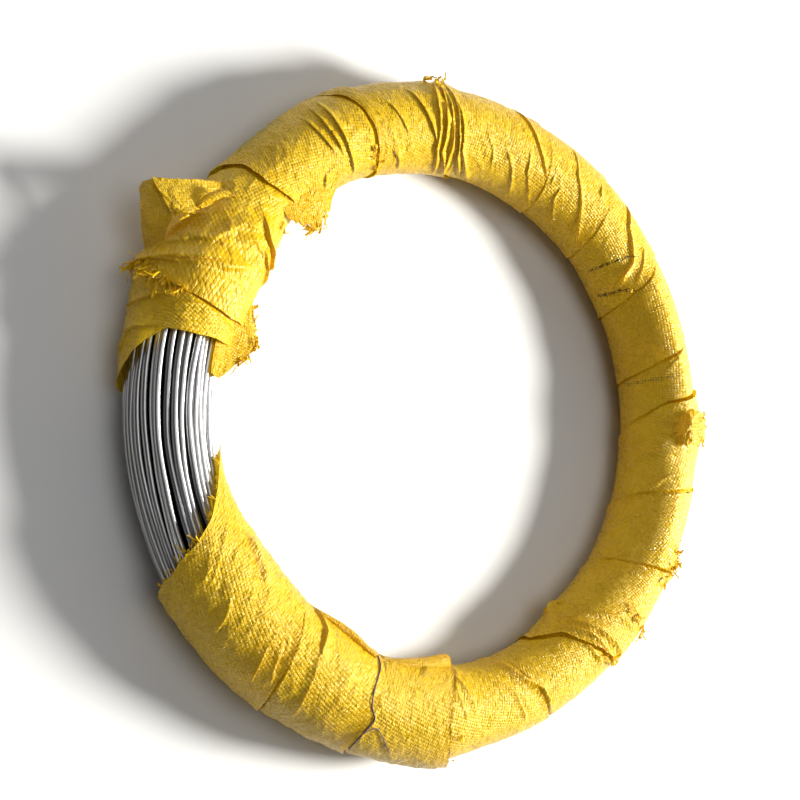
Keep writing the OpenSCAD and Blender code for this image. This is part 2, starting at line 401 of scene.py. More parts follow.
def edge_at(name, which, v):
    """Ring angle of a strip's first or last edge at a bundle angle."""
    first, last = STRIPS[name][:2]
    v = bundle_angle(v)
    u = (first if which == "first" else last) + width_of(name) * (1 - LAP) * (90 - v) / 360
    points = EDGE_SHIFT.get(f"{name}_{which}")
    if points:
        u = u + through(points, v)
    return u


def edge_line(name, which, angles):
    """Points along a strip's free edge."""
    line = []
    for v in angles:
        u = float(edge_at(name, which, v))
        line.append((u, v, float(section(u, v)) + 2.0))
    return line


def nearest_on(line, x, y, u_scale, v_scale):
    """Distance from points to a line, the side of it that they are on and the spans that they passed."""
    best = np.full(x.shape, np.inf)
    side, run = np.zeros_like(x), np.zeros_like(x)
    for k, ((u0, v0), (u1, v1)) in enumerate(zip(line[:-1], line[1:])):
        x0, y0 = u0 * u_scale, v0 * v_scale
        ex, ey = u1 * u_scale - x0, v1 * v_scale - y0
        t = np.clip(((x - x0) * ex + (y - y0) * ey) / (ex * ex + ey * ey + 1e-9), 0, 1)
        px, py = x - x0 - t * ex, y - y0 - t * ey
        d = np.hypot(px, py)
        nearer = d < best
        best = np.where(nearer, d, best)
        side = np.where(nearer, np.sign(px), side)
        run = np.where(nearer, k + t, run)
    return best, side, run


def fold_field(u, v):
    """Height and sideways lean in millimetres of all the folds, with a painted glow where they open in slits
    and painted shade at their feet.
    """
    height, lean_u = np.zeros_like(u), np.zeros_like(u)
    painted_glow, painted_shade = np.zeros_like(u), np.zeros_like(u)
    v_scale = DEGREE * WRAP
    for k, (points, h, half, lean) in enumerate(FOLDS):
        half = FOLD_WIDTH * half
        middle = points[len(points) // 2][0]
        du = turned(u - middle)
        dv = turned(v - 90) + 90
        pick = np.nonzero(np.abs(du) < FOLD_REACH)
        if not len(pick[0]):
            continue
        u_scale = DEGREE * (RING + WRAP * np.cos(np.radians(dv[pick])))
        x = du[pick] * u_scale
        y = dv[pick] * v_scale
        line = [(a - middle, b) for a, b in points]
        away, side, run = nearest_on(line, x, y, u_scale, v_scale)
        # A fold fades out at its ends and leans over to its lee side
        ends = smooth(run / 0.6) * smooth((len(line) - 1 - run) / 0.6) * 0.85 + 0.15
        ends = ends * (away < 4 * half)
        lee = side * math.copysign(1, lean) > 0
        if lean == 0:
            f = h * ends * np.clip(1 - away / (1.3 * half), 0, 1)
        else:
            wave = 1 + 0.35 * noise(y / 9.0, x * 0 + k * 3.7, 50 + k)
            steep = np.where(lee, half * 0.55, half * 1.5)
            f = h * ends * wave * np.exp(-((away / steep) ** 1.6))
        height[pick] = np.maximum(height[pick], f) + 0.3 * np.minimum(height[pick], f)
        lean_u[pick] += lean * 0.8 * f
        # Only a strong lean opens a slit, which gets a painted glow of light through the cloth; leaning folds
        # get painted shade at their foot
        gape = np.clip((abs(lean) - 0.75) / 0.4, 0, 1)
        deep = gape * ends * lee * bell((away - 0.7 * half) / (0.6 * half))
        near = ends * lee * bell((away - 0.75 * half) / (0.3 * half + 0.5))
        painted_glow[pick] = np.maximum(painted_glow[pick], deep)
        painted_shade[pick] = np.maximum(painted_shade[pick], near * min(abs(lean), 1) ** 2)
    return height, lean_u, painted_glow, painted_shade


def ravelled(u, v):
    """Where tapes have slipped and holes show, which the material paints dark as the shade seen through them.
    """
    fade = 8
    v = turned(v - 140) + 140
    out = np.zeros_like(u)
    for points, half, strength in RAVELS:
        line = sorted((b, a) for a, b in points)
        start, end = line[0][0], line[-1][0]
        inside = smooth((v - start + fade) / fade) * smooth((end + fade - v) / fade)
        du = turned(u - through(line, v)) * DEGREE * RING
        out = np.maximum(out, strength * inside * bell(du / half))
    return out


# Meshes
def mesh_of(name, points, quads, uvs):
    """A smooth mesh of four-sided faces with a UV map."""
    n = len(quads)
    me = bpy.data.meshes.new(name)
    me.vertices.add(len(points))
    me.vertices.foreach_set("co", points.reshape(-1).astype(np.float32))
    me.loops.add(4 * n)
    me.loops.foreach_set("vertex_index", quads.reshape(-1).astype(np.int32))
    me.polygons.add(n)
    me.polygons.foreach_set("loop_start", np.arange(0, 4 * n, 4, dtype=np.int32))
    me.polygons.foreach_set("loop_total", np.full(n, 4, np.int32))
    me.update(calc_edges=True)
    layer = me.uv_layers.new(name="UVMap")
    layer.data.foreach_set("uv", uvs[quads.reshape(-1)].reshape(-1).astype(np.float32))
    me.polygons.foreach_set("use_smooth", np.ones(n, bool))
    return me


def add_object(name, data):
    obj = bpy.data.objects.new(name, data)
    bpy.context.scene.collection.objects.link(obj)
    return obj


def add_mask(mesh, name, values):
    """A value for each point that a material can read by name."""
    mesh.attributes.new(name, "FLOAT", "POINT").data.foreach_set("value", values.astype(np.float32))


def cloth_mesh(name, grids):
    """One object from grids of points, each with its UV map in centimetres of cloth and its masks."""
    points, quads, uvs = [], [], []
    masks = {k: [] for k in MASKS}
    base = 0
    for grid, uv, own in grids:
        rows, cols = grid.shape[:2]
        i = base + np.arange(rows - 1)[:, None] * cols + np.arange(cols - 1)[None, :]
        quads.append(np.stack([i, i + cols, i + cols + 1, i + 1], -1).reshape(-1, 4))
        points.append(grid.reshape(-1, 3))
        uvs.append(uv.reshape(-1, 2))
        for k in MASKS:
            masks[k].append(np.broadcast_to(own.get(k, 0.0), (rows, cols)).reshape(-1))
        base += rows * cols
    mesh = mesh_of(name, np.concatenate(points), np.concatenate(quads), np.concatenate(uvs))
    for k in MASKS:
        add_mask(mesh, k, np.concatenate(masks[k]))
    return add_object(name, mesh)


def tubes(name, paths, radii, sides):
    """Joined tubes along paths of points in metres."""
    turn = np.linspace(0, 2 * math.pi, sides, endpoint=False)[None, :, None]
    up = np.array([0.13, 0.07, 1.0])
    points, quads, uvs = [], [], []
    base = 0
    for k, (path, radius) in enumerate(zip(paths, radii)):
        along = np.gradient(path, axis=0)
        along /= np.linalg.norm(along, axis=1)[:, None]
        side = np.cross(along, up)
        side /= np.linalg.norm(side, axis=1)[:, None]
        other = np.cross(side, along)
        ring = path[:, None] + radius * (side[:, None] * np.cos(turn) + other[:, None] * np.sin(turn))
        points.append(ring.reshape(-1, 3))
        i = base + np.arange(len(path) - 1)[:, None] * sides
        j = np.arange(sides)[None, :]
        after = (j + 1) % sides
        quads.append(np.stack([i + j, i + after, i + sides + after, i + sides + j], -1).reshape(-1, 4))
        run = np.r_[0, np.cumsum(np.linalg.norm(np.diff(path, axis=0), axis=1))] * 100
        uv = np.broadcast_arrays(run[:, None] + 17 * k, WIRE_APART * k + j / sides)
        uvs.append(np.stack(uv, -1).reshape(-1, 2))
        base += len(path) * sides
    return add_object(name, mesh_of(name, np.concatenate(points), np.concatenate(quads), np.concatenate(uvs)))


# Loose cloth
def loose_piece(
    rows, seed, crumple=1.0, ragged=0.0, teeth=8, grain=30, crease=0.6, thin=0.6, root=0.0, reach=9, glow=0.0
):
    """A loose piece of cloth through rows of points, with its last row torn.

    Creases stand up by crumple and are turned by grain. Teeth are torn out of a ragged share of its length.
    The rest are masks: fine crinkles, light that comes through, painted shade at the root, its reach and a
    painted glow past it.
    """
    points = tube(*np.moveaxis(np.array(rows, float), -1, 0))
    high = np.linalg.norm(np.diff(points, axis=0), axis=-1).sum(0).max() * 1000
    wide = np.linalg.norm(np.diff(points, axis=1), axis=-1).sum(1).max() * 1000
    nr, nc = max(8, int(high / ACROSS)), max(8, int(wide / ACROSS))
    fine = 4 * nr
    p = np.swapaxes(spline(np.swapaxes(spline(points, fine), 0, 1), nc), 0, 1)
    # Each column of points stops where the tear does
    j = np.linspace(0, 1, nc)
    jag = np.abs(noise(j * teeth + 0.3, j * 0 + 0.7, seed)) * 1.5
    jag = jag + 0.5 * np.abs(noise(j * teeth * 3, j * 0, seed + 1))
    stop = 1 - ragged * np.clip(jag, 0, 1)
    at = np.linspace(0, 1, nr)[:, None] * stop[None, :] * (fine - 1)
    i = np.minimum(at.astype(int), fine - 2)
    f = (at - i)[..., None]
    col = np.arange(nc)[None, :]
    p = p[i, col] * (1 - f) + p[i + 1, col] * f
    out = np.cross(np.gradient(p, axis=0), np.gradient(p, axis=1))
    out /= np.linalg.norm(out, axis=-1)[..., None] + 1e-12
    x, y = np.meshgrid(np.linspace(0, wide, nc), np.linspace(0, high, nr))
    bumps = creases(x, y, seed + 3, 24, 10, grain) + 0.5 * creases(x, y, seed + 5, 12, 5, grain - 55) - 0.4
    p = p + out * (crumple * bumps / 1000)[..., None]
    # Painted shade at the root and a painted glow past it
    masks = {
        "crease": crease,
        "loose": thin,
        "painted_shade": root * bell(y / reach),
        "painted_glow": glow * bell((y - 12) / 8),
    }
    return p, np.stack([x, y], -1) / 10, masks


def roll(line, start, end):
    """Rows of points of a rolled edge round a line of ring angle, bundle angle, distance and radius."""
    rows = []
    for a in np.radians(np.linspace(start, end, 10)):
        rows.append(
            [(u, v + math.degrees(r * math.sin(a) / rho), rho + r * math.cos(a)) for u, v, rho, r in line]
        )
    return rows


def frays(line, count, long, seed, lift=0.6, spread=1.0, toward=None, wide=1.1):
    """Loose tapes along a line of ring angle, bundle angle and distance on the wrap.

    They are at most long and twice wide in millimetres, stand up by lift, start about the line by spread, and
    point any way or mostly toward a direction along the ring and round the bundle.
    """
    rng = np.random.default_rng(seed)
    where = spline(np.array(line, float), 200)
    steps = 7
    grids = []
    for _ in range(count):
        u, v, rho = where[rng.integers(200)]
        p = tube(u + rng.normal(0, 0.35 * spread), v + rng.normal(0, 2.0 * spread), rho)
        base = tube(u, v, 0.0)
        out = (p - base) / (np.linalg.norm(p - base) + 1e-9)
        ring = np.array([-math.sin(math.radians(u)), math.cos(math.radians(u)), 0.0])
        side = np.cross(out, ring)
        a = rng.uniform(0, 2 * math.pi)
        go = ring * math.cos(a) + side * math.sin(a) + out * rng.uniform(0.1, 2 * lift)
        if toward:
            go = 0.6 * go + ring * toward[0] + side * toward[1]
        go /= np.linalg.norm(go)
        bend = rng.normal(0, 1, 3)
        size = long * rng.uniform(0.3, 0.9) / 1000
        t = np.linspace(0, 1, steps)[:, None]
        path = p + size * (go * t + 0.35 * bend * t**2 - out * 0.25 * t**3)
        flat = np.cross(go, bend)
        flat /= np.linalg.norm(flat)
        half = rng.uniform(0.3 * wide, wide) / 1000
        grid = np.stack([path - flat * half, path + flat * half], 1)
        uv = np.stack(np.meshgrid([0.02, 0.2], np.linspace(0, size * 100, steps)), -1)
        uv = uv + rng.uniform(0, 9, 2).round()
        grids.append((grid, uv, {}))
    return grids


LOOSE = {
    "a": [
        loose_piece(roll(END_ROLL, -150, 160), seed=301, crumple=0.3),
        loose_piece(roll(EYE_ROLL, -120, 150), seed=302, crumple=0.3),
        *frays([(268, 20, 43), (268.5, 90, 41)], 8, 6, seed=311),
        *frays(edge_line("a", "first", (0, 40, 80, 110, 140)), 60, 6, seed=323, lift=0.1, toward=(-0.9, 0)),
    ],
    "c": [
        # The knot gets a painted glow
        loose_piece(KNOT, seed=306, crumple=1.5, grain=80, crease=0.4, thin=0.3, glow=0.2),
        *frays(KNOT_FRAY, 90, 5, seed=312, lift=0.5, spread=1.6),
        *frays([(334, 66, 39), (330.5, 60, 41), (327, 70, 39)], 130, 6, seed=313, lift=0.8, spread=2.0),
        *frays(LAP_FRAY, 60, 6, seed=314, lift=0.7),
        *frays([(306.9, 50, 39), (305.5, 79, 38.5)], 14, 8, seed=324),
        *frays([(303, 186, 41), (305.5, 180, 44), (306, 168, 42)], 24, 6, seed=315, lift=0.7),
    ],
    "d": frays([(33.5, 172, 36), (33.4, 144, 36.5), (31.4, 116, 36.5)], 14, 5, seed=316, lift=0.4),
    "e": [
        loose_piece(TORN, seed=303, crumple=0.9, ragged=0.35, teeth=6, crease=0.2),
        *frays(TORN_FRAY, 40, 13, seed=317, lift=0.2, toward=(0.1, 1.0), wide=1.4),
        *frays([(112, 118, 37), (111, 150, 37)], 20, 6, seed=318),
        *frays(GATHER_FRAY, 50, 6, seed=325, lift=0.7),
    ],
    "f": [
        loose_piece(FLAP_TOP, seed=304, crumple=0.9, ragged=0.03, teeth=12, thin=0.1),
        # The flap's wall and the lobe get painted shade at their roots, and the lobe a painted glow
        loose_piece(FLAP_WALL, seed=308, crumple=0.6, crease=0.3, thin=-0.4, root=0.55, reach=40),
        loose_piece(LOBE, seed=305, crumple=0.8, crease=0.2, thin=0.4, root=0.4, glow=0.7),
        loose_piece(roll(MOUTH, -110, 120), seed=307, crumple=0.5, thin=0.3),
        *frays(BAND_FRAY, 110, 14, seed=319, lift=0.7, toward=(0.9, -0.2), wide=1.3),
        *frays(LOBE_FRAY, 110, 8, seed=320, lift=0.4, toward=(0.2, 0.8)),
        *frays([(151.5, 35, 59), (151, 41.5, 53.5), (148.5, 48, 46.5)], 16, 6, seed=321, lift=0.4),
        *frays([(141, 120, 38), (139, 150, 38), (142, 165, 40)], 14, 6, seed=322, lift=0.4),
    ],
}


# Materials
class Nodes:
    """Short ways to add and join shader nodes."""

    def __init__(self, owner):
        self.tree = owner.node_tree

    def add(self, kind, **settings):
        n = self.tree.nodes.new(kind)
        for k, value in settings.items():
            setattr(n, k, value)
        return n

    def join(self, a, b):
        self.tree.links.new(a, b)

    def put(self, value, socket):
        """Give a socket a number, a colour or another node's output."""
        if isinstance(value, (int, float)):
            socket.default_value = value
        elif isinstance(value, tuple):
            socket.default_value = (*value, 1)
        else:
            self.join(value, socket)

    def math(self, op, *values):
        n = self.add("ShaderNodeMath", operation=op)
        for k, value in enumerate(values):
            self.put(value, n.inputs[k])
        return n.outputs[0]

    def mix(self, factor, a, b):
        n = self.add("ShaderNodeMix", data_type="RGBA")
        for k, value in ((0, factor), (6, a), (7, b)):
            self.put(value, n.inputs[k])
        return n.outputs[2]

    def tint(self, tone, mask, strength, colour):
        """A tone turned to a colour where a mask is."""
        return self.mix(self.math("MULTIPLY", mask, strength), tone, colour)

    def split(self, vector):
        n = self.add("ShaderNodeSeparateXYZ")
        self.join(vector, n.inputs[0])
        return n.outputs

    def uv(self):
        return self.add("ShaderNodeUVMap", uv_map="UVMap").outputs[0]

    def place(self):
        return self.add("ShaderNodeTexCoord").outputs["Object"]

    def attribute(self, name):
        return self.add("ShaderNodeAttribute", attribute_name=name).outputs["Fac"]

    def mapping(self, vector, scale, turn=0.0):
        n = self.add("ShaderNodeMapping")
        n.inputs["Rotation"].default_value = (0, 0, turn)
        n.inputs["Scale"].default_value = scale
        self.join(vector, n.inputs["Vector"])
        return n.outputs[0]

    def noise(self, vector, scale, detail=3.0, rough=0.55):
        n = self.add("ShaderNodeTexNoise")
        for name, value in (("Vector", vector), ("Scale", scale), ("Detail", detail), ("Roughness", rough)):
            self.put(value, n.inputs[name])
        return n.outputs["Fac"]

    def bump(self, height, strength, distance, normal=None):
        n = self.add("ShaderNodeBump")
        for name, value in (("Height", height), ("Strength", strength), ("Distance", distance)):
            self.put(value, n.inputs[name])
        if normal is not None:
            self.join(normal, n.inputs["Normal"])
        return n.outputs[0]

    def shader(self, kind, inputs):
        n = self.add(kind)
        for name, value in inputs.items():
            self.put(value, n.inputs[name])
        return n.outputs[0]

    def show(self, shader):
        self.join(shader, self.add("ShaderNodeOutputMaterial").inputs["Surface"])


def new_material(name):
    m = bpy.data.materials.new(name)
    m.use_nodes = True
    m.node_tree.nodes.clear()
    return m


def crinkle_height(k, uv):
    """Fine branching creases, in three sizes."""
    total = None
    for scale, share, turn in ((0.9, 1.0, 0.35), (2.1, 0.5, -0.5), (4.6, 0.12, 1.2)):
        n = k.noise(k.mapping(uv, (0.8, 1.15, 1.0), turn), scale, 5.0, 0.62)
        off = k.math("MULTIPLY", k.math("ABSOLUTE", k.math("SUBTRACT", n, 0.5)), 5.0)
        ridge = k.math("MAXIMUM", k.math("SUBTRACT", 1.0, off), 0.0)
        ridge = k.math("MULTIPLY", ridge, share)
        total = ridge if total is None else k.math("ADD", total, ridge)
    return total


def weave(k, uv):
    """Height of a plain weave of tapes, how each shown tape is tilted, and a random value for each."""
    parts = k.split(uv)
    x = k.math("MULTIPLY", parts[0], 10 / TAPE)
    y = k.math("MULTIPLY", parts[1], 10 / TAPE)
    fx, fy = k.math("FRACT", x), k.math("FRACT", y)
    ix, iy = k.math("FLOOR", x), k.math("FLOOR", y)
    odd = k.math("ABSOLUTE", k.math("MODULO", k.math("ADD", ix, iy), 2.0))
    even = k.math("SUBTRACT", 1.0, odd)
    hump_x = k.math("SINE", k.math("MULTIPLY", fx, math.pi))
    hump_y = k.math("SINE", k.math("MULTIPLY", fy, math.pi))
    one = k.math("MULTIPLY", k.math("POWER", hump_x, 0.4), hump_y)
    two = k.math("MULTIPLY", k.math("POWER", hump_y, 0.4), hump_x)
    height = k.math("ADD", k.math("MULTIPLY", one, odd), k.math("MULTIPLY", two, even))
    cell = k.add("ShaderNodeCombineXYZ")
    k.join(ix, cell.inputs[0])
    k.join(iy, cell.inputs[1])
    white = k.add("ShaderNodeTexWhiteNoise", noise_dimensions="2D")
    k.join(cell.outputs[0], white.inputs["Vector"])
    tilt = k.add("ShaderNodeSeparateColor")
    k.join(white.outputs["Color"], tilt.inputs[0])
    tilt_x = k.math("MULTIPLY", k.math("SUBTRACT", fx, 0.5), k.math("SUBTRACT", tilt.outputs[1], 0.5))
    tilt_y = k.math("MULTIPLY", k.math("SUBTRACT", fy, 0.5), k.math("SUBTRACT", tilt.outputs[2], 0.5))
    tilted = k.math("MULTIPLY", k.math("ADD", tilt_x, tilt_y), 2.6)
    return height, tilted, white.outputs["Value"]


def woven_material():
    """Satin yellow tapes letting some light through, with painted shade in the gaps, at the foot of folds and
    in ravelled holes, painted glints on some tapes and a painted glow in fold slits and loose pieces.
    """
    m = new_material("woven_tape")
    k = Nodes(m)
    uv, place = k.uv(), k.place()
    height, tilted, glint = weave(k, uv)
    patches = k.noise(place, 22.0, 4.0)
    specks = k.noise(place, 320.0, 3.0, 0.7)
    gaps = k.math("SUBTRACT", 1.0, k.math("MINIMUM", 1.0, k.math("MULTIPLY", height, 2.2)))
    painted_glow = k.attribute("painted_glow")
    tone = k.mix(patches, (0.62, 0.345, 0.002), (0.82, 0.525, 0.006))
    # Painted glint: some tapes get a lighter tone, as if they caught the light
    tone = k.tint(tone, glint, 0.4, (0.93, 0.65, 0.02))
    # Painted shade between the tapes
    tone = k.tint(tone, gaps, 0.36, (0.40, 0.20, 0.002))
    # Painted shade at the feet of folds and the roots of loose pieces
    tone = k.tint(tone, k.attribute("painted_shade"), 0.8, (0.36, 0.15, 0.001))
    # Painted glow: fold slits, the knot and the lobe turn orange as if lit through the cloth
    tone = k.tint(tone, painted_glow, 0.9, (0.88, 0.42, 0.002))
    tone = k.tint(tone, k.attribute("green"), patches, (0.09, 0.2, 0.012))
    # Holes where tapes have slipped, painted near black as the shade seen through them
    open_weave = k.math("ADD", k.math("MULTIPLY", specks, 1.1), k.math("MULTIPLY", gaps, 0.35))
    holes = k.math("GREATER_THAN", k.math("MULTIPLY", k.attribute("ravel"), open_weave), 0.55)
    tone = k.mix(holes, tone, (0.02, 0.012, 0.003))
    crinkles = k.math("MULTIPLY", crinkle_height(k, uv), k.attribute("crease"))
    bump = k.bump(k.math("ADD", height, tilted), 0.7, 0.0005, k.bump(crinkles, 0.8, 0.0017))
    shine = k.shader("ShaderNodeBsdfPrincipled", {
        "Base Color": tone,
        "Normal": bump,
        "Roughness": k.math("MULTIPLY_ADD", glint, 0.2, 0.24),
        "IOR": 1.49,
        "Specular Tint": (1.0, 0.9, 0.5),
        "Coat Weight": 0.25,
        "Coat Roughness": 0.14,
        "Coat Normal": bump,
        # Painted glow: the same places give off a little light of their own
        "Emission Color": (0.9, 0.47, 0.003),
        "Emission Strength": k.math("MULTIPLY", painted_glow, 0.28),
    })
    lit_through = k.mix(0.6, tone, (0.98, 0.64, 0.002))
    through_light = k.shader("ShaderNodeBsdfTranslucent", {"Color": lit_through, "Normal": bump})
    both = k.add("ShaderNodeMixShader")
    k.join(k.math("MULTIPLY_ADD", k.attribute("loose"), 0.3, 0.16), both.inputs[0])
    k.join(shine, both.inputs[1])
    k.join(through_light, both.inputs[2])
    k.show(both.outputs[0])
    return m


def wire_material():
    """Bright drawn metal with streaks along each wire, stains, a tone of its own and painted shade in the
    depths of the bundle.
    """
    m = new_material("bright_wire")
    k = Nodes(m)
    uv = k.uv()
    streaks = k.noise(k.mapping(uv, (0.06, 9.0, 1.0)), 6.0, 4.0)
    stains = k.noise(k.place(), 30.0, 4.0)
    own = k.add("ShaderNodeTexWhiteNoise", noise_dimensions="1D")
    number = k.math("MULTIPLY_ADD", k.split(uv)[1], 1 / WIRE_APART, 0.01)
    k.join(k.math("FLOOR", number), own.inputs["W"])
    tone = k.mix(streaks, (0.34, 0.34, 0.34), (0.70, 0.72, 0.74))
    tone = k.tint(tone, stains, 0.4, (0.33, 0.29, 0.25))
    tone = k.tint(tone, own.outputs["Value"], 0.6, (0.16, 0.16, 0.17))
    # Painted shade: wires deeper in the bundle are darker
    tone = k.tint(tone, k.attribute("deep"), 0.9, (0.02, 0.02, 0.02))
    k.show(k.shader("ShaderNodeBsdfPrincipled", {
        "Metallic": 1.0,
        "Base Color": tone,
        "Roughness": k.math("MULTIPLY_ADD", streaks, 0.22, 0.20),
        "Normal": k.bump(streaks, 0.25, 0.0002),
    }))
    return m


def plain_material(name, low, high, scale, rough):
    """A matt material that varies between two tones."""
    m = new_material(name)
    k = Nodes(m)
    tone = k.mix(k.noise(k.place(), scale, 4.0), low, high)
    k.show(k.shader("ShaderNodeBsdfPrincipled", {"Base Color": tone, "Roughness": rough}))
    return m


WOVEN = woven_material()
BRIGHT = wire_material()


# The wire
def wire_turns():
    """Single turns of wire where the wrap leaves them bare, round plain bundles that it hides."""
    rng = np.random.default_rng(21)
    outermost = BUNDLE - WIRE / 2
    u = np.linspace(158, 220, 90)
    paths, radii = [], []
    for layer, (count, rho) in enumerate([(33, outermost + 0.1), (26, BUNDLE - 1.8 * WIRE)]):
        for k in range(count):
            v = 360 * (k + 0.5 * layer) / count + rng.uniform(-2.2, 2.2)
            drift = 5.5 * noise(u / 26 + 10 * layer, u * 0 + k * 0.37, 61)
            drift = drift + 1.6 * noise(u / 9, u * 0 + k * 1.7, 62)
            depth = rng.uniform(-0.9, 0.5) + 2.4 * noise(u / 22, u * 0 + k * 1.31 + 5, 63)
            paths.append(tube(u, v + drift, np.minimum(rho + depth, outermost + 0.9)))
            radii.append(WIRE / 2000)
    for start, end, count, radius in (
        (216, 522, 160, BUNDLE - HIDDEN_BELOW),
        (157, 221, 60, BUNDLE - 2.1 * WIRE),
    ):
        core = np.linspace(start, end, count)
        paths.append(tube(core, 0 * core, 0 * core))
        radii.append(radius / 1000)
    obj = tubes("wire_turns", paths, radii, 16)
    place = np.array([v.co for v in obj.data.vertices]) * 1000
    rho = np.hypot(np.hypot(place[:, 0], place[:, 1]) - RING, place[:, 2] - MID)
    # How deep each point lies in the bundle, for the painted shade there
    add_mask(obj.data, "deep", np.clip((BUNDLE - 2.4 - rho) / 2.6, 0, 1))
    obj.data.materials.append(BRIGHT)
    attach(obj, "root")
    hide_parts("wire_coil")


# The strips
def free_edges(name, t, w, v, u):
    """Ring angles of a strip whose edges leave the helix, and how far the turn over it is moved."""
    turns = STRIPS[name][2]
    first, last = EDGE_SHIFT.get(f"{name}_first"), EDGE_SHIFT.get(f"{name}_last")
    if first:
        u = u + through(first, v) * (1 - w) ** 2 * smooth((1.1 - t) / 0.1)
    if last:
        u = u + through(last, v) * w**2 * smooth((t - turns + 1.1) / 0.1)
    under = np.zeros_like(u)
    for turn, points in LAP_SHIFT.get(name, {}).items():
        shift = through(points, v)
        u = u + shift * w**3 * ((t >= turn) & (t < turn + 1))
        under = under + shift * ((t >= turn + 1) & (t < turn + 2))
    return u, under


def laps(name, t, w, under):
    """How far a strip rises over its own turns, how much of it shows, and the way to its free edges."""
    turns, over_next = STRIPS[name][2], STRIPS[name][4]
    wide = width_of(name)
    wide_mm = math.radians(wide) * RING
    seam = 0.02
    if over_next:
        rise = np.where(t > turns - 1, 0, np.clip((w - LAP) / (1 - 2 * LAP), 0, 1))
        clear = ((w - LAP) * wide - under) / wide * wide_mm
        shown = np.where(t >= 1 - seam, smooth(clear / EDGE + 0.1), 1)
        free = (1 - w) * wide_mm
        free = np.where(t < 1, np.minimum(free, w * wide_mm), free)
    else:
        rise = np.where(t < 1, 0, np.clip((1 - LAP - w) / (1 - 2 * LAP), 0, 1))
        clear = (1 - LAP - w) * wide_mm
        shown = np.where(t <= turns - 1 + seam, smooth(clear / EDGE + 0.1), 1)
        free = w * wide_mm
        free = np.where(t > turns - 1, np.minimum(free, (1 - w) * wide_mm), free)
    return rise, shown, free


def crumpled(name, amp, length, across, seed):
    """Height of a strip's creases, large and fine, and of its bulges."""
    big = creases(length, across, seed, 34, 19, 25) * 0.55
    big = big + creases(length, across, seed + 11, 20, 12, -40) * 0.5
    fine = creases(length, across, seed + 23, 11, 8, 25) * 0.45
    fine = fine + creases(length, across, seed + 31, 7, 6, -50) * 0.35
    soft = 0.5 + 0.9 * noise(length / 40, across / 30, seed + 41)
    height = 1.1 * amp * big * np.clip(soft + 0.3, 0, 1.4)
    height = height + np.minimum(amp, FINE_MOST[name]) * fine * np.clip(1.2 - soft, 0.3, 1)
    bulges = np.clip(0.45 + noise(length / 34, across / 19, seed + 43), 0, 1)
    return height + 1.5 * np.clip(amp - 0.4, 0, 2) * bulges


def weave_uv(name, t, across):
    """UV map of a strip in centimetres of cloth, with the weave turned from its edges."""
    lead = math.radians(width_of(name) * (1 - LAP)) * RING
    along = math.hypot(lead, TURN)
    grain = along * t + across * lead / along
    cross = across * TURN / along
    c, s = math.cos(math.radians(BIAS[name])), math.sin(math.radians(BIAS[name]))
    return np.stack([grain * c - cross * s, grain * s + cross * c], -1) / 10


def on_floor(p, lift):
    """Cloth that would sink into the floor lies on it, raised by its lift in millimetres."""
    bend = 0.002
    low = 0.0003 + lift / 1000
    z = p[..., 2]
    below = (np.minimum(z, low + bend) - low - bend) / bend
    p[..., 2] = np.where(z < low + bend, low + bend * np.exp(below), z)
    return p


